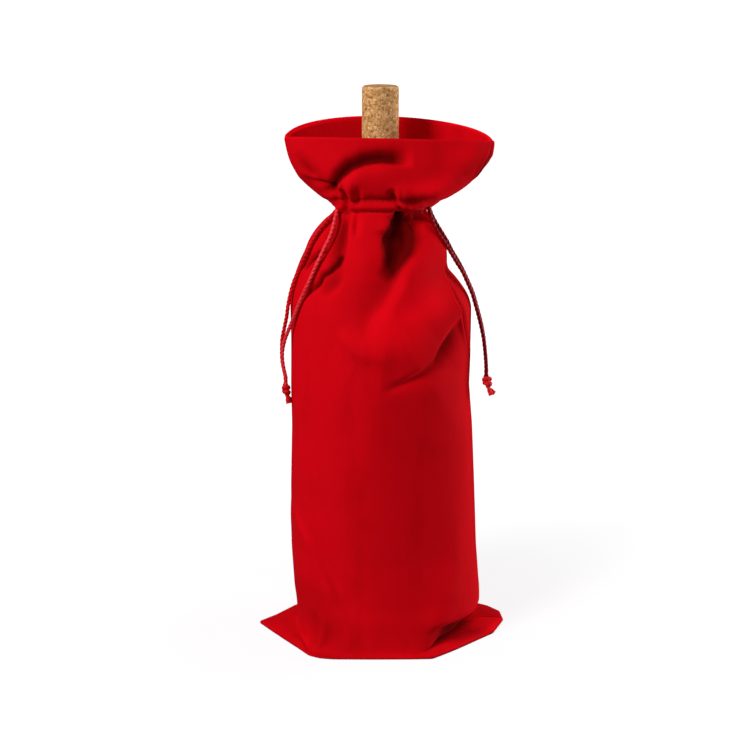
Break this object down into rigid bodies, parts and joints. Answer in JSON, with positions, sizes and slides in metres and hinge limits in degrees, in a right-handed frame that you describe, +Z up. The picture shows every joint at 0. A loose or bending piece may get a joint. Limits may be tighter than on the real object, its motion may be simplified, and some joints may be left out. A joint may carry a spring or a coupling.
{
  "type": "wine gift bag",
  "caption": "Tall velvet gift bag with a double drawstring neck, flared collar and folded bottom corners, closed round a corked wine bottle.",
  "frame": {"origin": "centre of the base, on the surface the bag stands on", "axes": "+Z up along the bottle, +X towards the right side seam seen from the front, -Y towards the viewer at the front"},
  "size_m": [0.152, 0.096, 0.3405],
  "materials": {
    "velvet": "short-pile red velvet with a soft sheen",
    "cord": "twisted red satin cord",
    "thread": "red sewing thread",
    "bottle_glass": "dark green glass",
    "cork": "pressed cork granules"
  },
  "bodies": {
    "bag": {"front_panel": "velvet", "back_panel": "velvet", "front_hem": "velvet", "back_hem": "velvet", "upper_channel_stitches": "thread", "lower_channel_stitches": "thread", "left_draw_loop": "cord", "right_draw_loop": "cord"},
    "bottle": {"bottle": "bottle_glass"},
    "cork": {"cork": "cork"},
    "left_tail": {"left_strand_front": "cord", "left_strand_back": "cord", "left_knot": "cord", "left_cord_ends": "cord"},
    "right_tail": {"right_strand_front": "cord", "right_strand_back": "cord", "right_knot": "cord", "right_cord_ends": "cord"}
  },
  "joints": [
    {"name": "bottle_lift", "type": "slide", "parent": "bag", "child": "bottle", "axis": [0, 0, 1], "range_m": [0, 0.02]},
    {"name": "cork_pull", "type": "slide", "parent": "bottle", "child": "cork", "axis": [0, 0, 1], "range_m": [0, 0.03]},
    {"name": "left_tail_swing", "type": "hinge", "parent": "bag", "child": "left_tail", "pos_m": [-0.0277, -0.009, 0.2694], "axis": [0, 1, 0], "range_deg": [0, 75]},
    {"name": "right_tail_swing", "type": "hinge", "parent": "bag", "child": "right_tail", "pos_m": [0.0307, -0.009, 0.2726], "axis": [0, -1, 0], "range_deg": [0, 75]}
  ]
}
